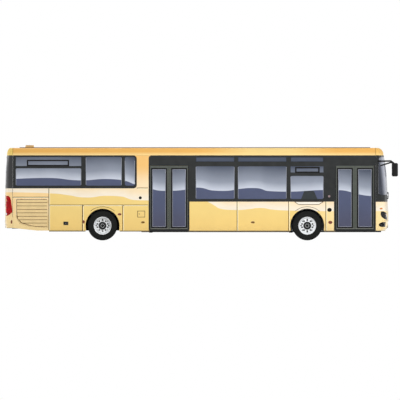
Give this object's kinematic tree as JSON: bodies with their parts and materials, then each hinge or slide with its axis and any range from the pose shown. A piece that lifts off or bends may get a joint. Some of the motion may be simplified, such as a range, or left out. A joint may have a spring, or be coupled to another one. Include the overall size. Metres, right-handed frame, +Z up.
{
  "type": "city bus",
  "caption": "Low-entry two-axle city bus with inward-gliding double doors, steered front wheels, twin rear wheels, engine lid and service flap.",
  "frame": {"origin": "on the ground, midway along the overall length and on the centre line", "axes": "+X forwards towards the nose, +Y to the bus's left, +Z up; the doors are on the -Y side"},
  "size_m": [13.359, 2.95, 3.237],
  "materials": {
    "body_paint": "satin coach paint, ochre with a cream wave",
    "roof_paint": "satin coach paint, warm orange",
    "grille_paint": "matt tan",
    "rim_paint": "silver wheel enamel",
    "arm_paint": "grey enamel",
    "pole_paint": "bright powder coat",
    "black_trim": "black glazing surround",
    "lamp_dark": "smoked lens",
    "lamp_red": "red lens",
    "lining": "grain grey lining",
    "lining_dark": "dark grained plastic",
    "floor_covering": "flecked grey floor covering",
    "chassis": "black chassis paint",
    "cast_parts": "cast, oiled",
    "seat_fabric": "blue woven seat cloth",
    "glass": "dark tinted",
    "tyre": "worn rubber"
  },
  "bodies": {
    "bus_body": {"chassis_low": "chassis", "chassis_rear": "chassis", "tow_eye": "chassis", "jack_pads": "chassis", "floor_low": "floor_covering", "floor_rear": "floor_covering", "wheel_boxes": "floor_covering", "driver_platform": "floor_covering", "nose_frame": "black_trim", "tail_frame": "black_trim", "side_wall_right": "body_paint", "side_wall_left": "body_paint", "window_frames": "black_trim", "roof": "roof_paint", "front_mask": "body_paint", "rear_mask": "body_paint", "windscreen": "glass", "fixed_windows": "glass", "headlamps": "lamp_dark", "tail_lamps": "lamp_red", "front_axle": "cast_parts", "rear_axle": "cast_parts", "engine": "cast_parts", "side_grille": "grille_paint", "mirrors": "black_trim", "roof_vent": "roof_paint", "door_headers": "lining", "destination_display": "lining_dark", "dashboard": "lining_dark", "seats": "seat_fabric", "driver_seat": "seat_fabric", "handrails": "pole_paint", "cab_partition": "lining"},
    "knuckle_right": {"front_knuckle_right": "cast_parts"},
    "front_wheel_right": {"front_wheel_right": "rim_paint", "front_tyre_right": "tyre"},
    "rear_wheels_right": {"rear_wheels_right": "rim_paint", "rear_tyres_right": "tyre"},
    "knuckle_left": {"front_knuckle_left": "cast_parts"},
    "front_wheel_left": {"front_wheel_left": "rim_paint", "front_tyre_left": "tyre"},
    "rear_wheels_left": {"rear_wheels_left": "rim_paint", "rear_tyres_left": "tyre"},
    "steering_wheel": {"steering_wheel": "lining_dark"},
    "arm_mid_rear": {"door_mid_rear_arm": "arm_paint"},
    "leaf_mid_rear": {"door_mid_rear_leaf": "black_trim", "door_mid_rear_glass": "glass"},
    "arm_mid_fore": {"door_mid_fore_arm": "arm_paint"},
    "leaf_mid_fore": {"door_mid_fore_leaf": "black_trim", "door_mid_fore_glass": "glass"},
    "arm_front_rear": {"door_front_rear_arm": "arm_paint"},
    "leaf_front_rear": {"door_front_rear_leaf": "black_trim", "door_front_rear_glass": "glass"},
    "arm_front_fore": {"door_front_fore_arm": "arm_paint"},
    "leaf_front_fore": {"door_front_fore_leaf": "black_trim", "door_front_fore_glass": "glass"},
    "engine_lid": {"engine_lid": "body_paint"},
    "service_flap": {"service_flap": "body_paint"}
  },
  "joints": [
    {"name": "steer_right", "type": "hinge", "parent": "bus_body", "child": "knuckle_right", "pos_m": [3.5975, -0.905, 0.502], "axis": [0, 0, 1], "range_deg": [-40, 40]},
    {"name": "front_wheel_right_spin", "type": "hinge", "parent": "knuckle_right", "child": "front_wheel_right", "pos_m": [3.5975, -1.052, 0.502], "axis": [0, 1, 0], "continuous": true},
    {"name": "rear_wheels_right_spin", "type": "hinge", "parent": "bus_body", "child": "rear_wheels_right", "pos_m": [-3.3625, -0.905, 0.502], "axis": [0, 1, 0], "continuous": true},
    {"name": "steer_left", "type": "hinge", "parent": "bus_body", "child": "knuckle_left", "pos_m": [3.5975, 0.905, 0.502], "axis": [0, 0, 1], "range_deg": [-40, 40]},
    {"name": "front_wheel_left_spin", "type": "hinge", "parent": "knuckle_left", "child": "front_wheel_left", "pos_m": [3.5975, 1.052, 0.502], "axis": [0, 1, 0], "continuous": true},
    {"name": "rear_wheels_left_spin", "type": "hinge", "parent": "bus_body", "child": "rear_wheels_left", "pos_m": [-3.3625, 0.905, 0.502], "axis": [0, 1, 0], "continuous": true},
    {"name": "steering_wheel_turn", "type": "hinge", "parent": "bus_body", "child": "steering_wheel", "pos_m": [5.5975, 0.72, 1.305], "axis": [-0.4695, 0, 0.8829], "range_deg": [-720, 720]},
    {"name": "door_mid_rear_open", "type": "hinge", "parent": "bus_body", "child": "arm_mid_rear", "pos_m": [-1.7715, -1.175, 1.48], "axis": [0, 0, 1], "range_deg": [0, 88]},
    {"name": "door_mid_rear_follow", "type": "hinge", "parent": "arm_mid_rear", "child": "leaf_mid_rear", "pos_m": [-1.4215, -1.21, 1.48], "axis": [0, 0, 1], "range_deg": [-177, 0]},
    {"name": "door_mid_fore_open", "type": "hinge", "parent": "bus_body", "child": "arm_mid_fore", "pos_m": [-0.4315, -1.175, 1.48], "axis": [0, 0, -1], "range_deg": [0, 88]},
    {"name": "door_mid_fore_follow", "type": "hinge", "parent": "arm_mid_fore", "child": "leaf_mid_fore", "pos_m": [-0.7815, -1.21, 1.48], "axis": [0, 0, -1], "range_deg": [-177, 0]},
    {"name": "door_front_rear_open", "type": "hinge", "parent": "bus_body", "child": "arm_front_rear", "pos_m": [4.5475, -1.175, 1.48], "axis": [0, 0, 1], "range_deg": [0, 88]},
    {"name": "door_front_rear_follow", "type": "hinge", "parent": "arm_front_rear", "child": "leaf_front_rear", "pos_m": [4.8975, -1.21, 1.48], "axis": [0, 0, 1], "range_deg": [-177, 0]},
    {"name": "door_front_fore_open", "type": "hinge", "parent": "bus_body", "child": "arm_front_fore", "pos_m": [5.8875, -1.175, 1.48], "axis": [0, 0, -1], "range_deg": [0, 88]},
    {"name": "door_front_fore_follow", "type": "hinge", "parent": "arm_front_fore", "child": "leaf_front_fore", "pos_m": [5.5375, -1.21, 1.48], "axis": [0, 0, -1], "range_deg": [-177, 0]},
    {"name": "engine_lid_lift", "type": "hinge", "parent": "bus_body", "child": "engine_lid", "pos_m": [-6.6685, 0, 1.703], "axis": [0, 1, 0], "range_deg": [0, 90]},
    {"name": "service_flap_lift", "type": "hinge", "parent": "bus_body", "child": "service_flap", "pos_m": [-4.6095, -1.273, 1.202], "axis": [-1, 0, 0], "range_deg": [0, 100]}
  ],
  "couplings": [
    {"joint": "steer_left", "follows": "steer_right", "ratio": 1},
    {"joint": "steering_wheel_turn", "follows": "steer_right", "ratio": 18},
    {"joint": "door_mid_rear_follow", "follows": "door_mid_rear_open", "ratio": -2},
    {"joint": "door_mid_fore_follow", "follows": "door_mid_fore_open", "ratio": -2},
    {"joint": "door_front_rear_follow", "follows": "door_front_rear_open", "ratio": -2},
    {"joint": "door_front_fore_follow", "follows": "door_front_fore_open", "ratio": -2}
  ]
}
